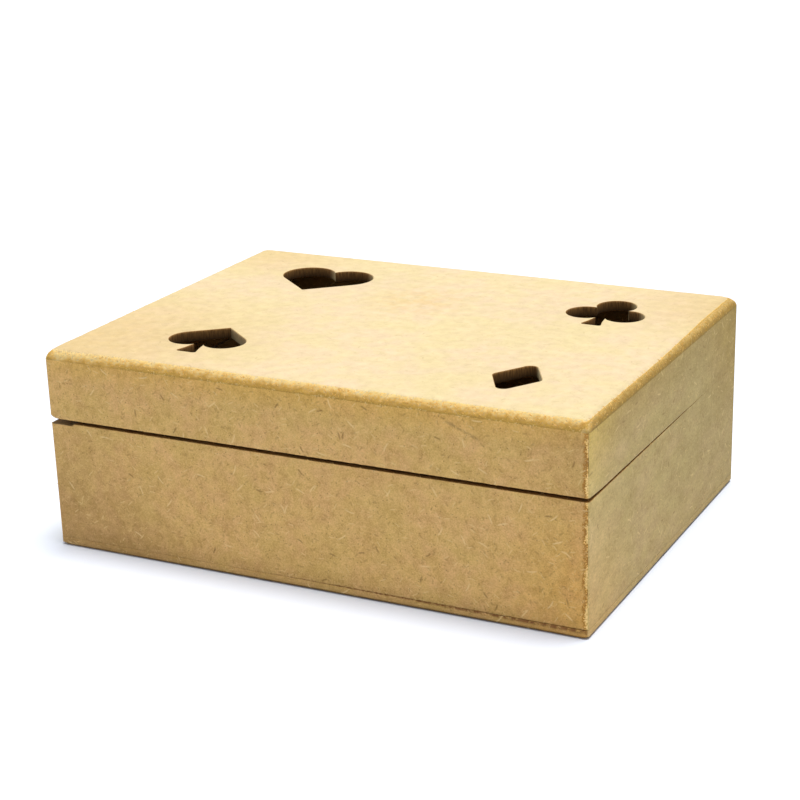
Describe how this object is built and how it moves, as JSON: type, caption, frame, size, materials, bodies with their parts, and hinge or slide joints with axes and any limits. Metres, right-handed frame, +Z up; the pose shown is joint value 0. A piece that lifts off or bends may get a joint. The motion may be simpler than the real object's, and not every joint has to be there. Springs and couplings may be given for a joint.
{
  "type": "playing card box",
  "caption": "Rectangular fibreboard box for playing cards, with a divider and a lid hinged at the back; the card suits are cut through the lid's rounded-over top.",
  "frame": {"origin": "middle of the box's underside, without the hinges, on the surface that it stands on", "axes": "+Z up, +X along the long side to the right, +Y to the back where the hinges are; the front faces -Y"},
  "size_m": [0.16, 0.1222, 0.058],
  "materials": {
    "fibreboard": "raw medium density fibreboard, sanded, not varnished",
    "fibreboard_top": "raw medium density fibreboard with a routed edge and laser cut openings",
    "hinge_brass": "stamped brass, lightly tarnished",
    "nail_brass": "domed brass nail heads"
  },
  "bodies": {
    "base": {"base_front": "fibreboard", "base_back": "fibreboard", "base_left": "fibreboard", "base_right": "fibreboard", "base_bottom": "fibreboard", "divider": "fibreboard", "hinge_leaf_base_left": "hinge_brass", "hinge_leaf_base_right": "hinge_brass", "hinge_pin_left": "hinge_brass", "hinge_pin_right": "hinge_brass", "hinge_nails_base": "nail_brass"},
    "lid": {"lid_front": "fibreboard", "lid_back": "fibreboard", "lid_left": "fibreboard", "lid_right": "fibreboard", "lid_top": "fibreboard_top", "hinge_leaf_lid_left": "hinge_brass", "hinge_leaf_lid_right": "hinge_brass", "hinge_nails_lid": "nail_brass"}
  },
  "joints": [
    {"name": "lid_hinge", "type": "hinge", "parent": "base", "child": "lid", "pos_m": [0, 0.0612, 0.03712], "axis": [-1, 0, 0], "range_deg": [0, 180]}
  ]
}
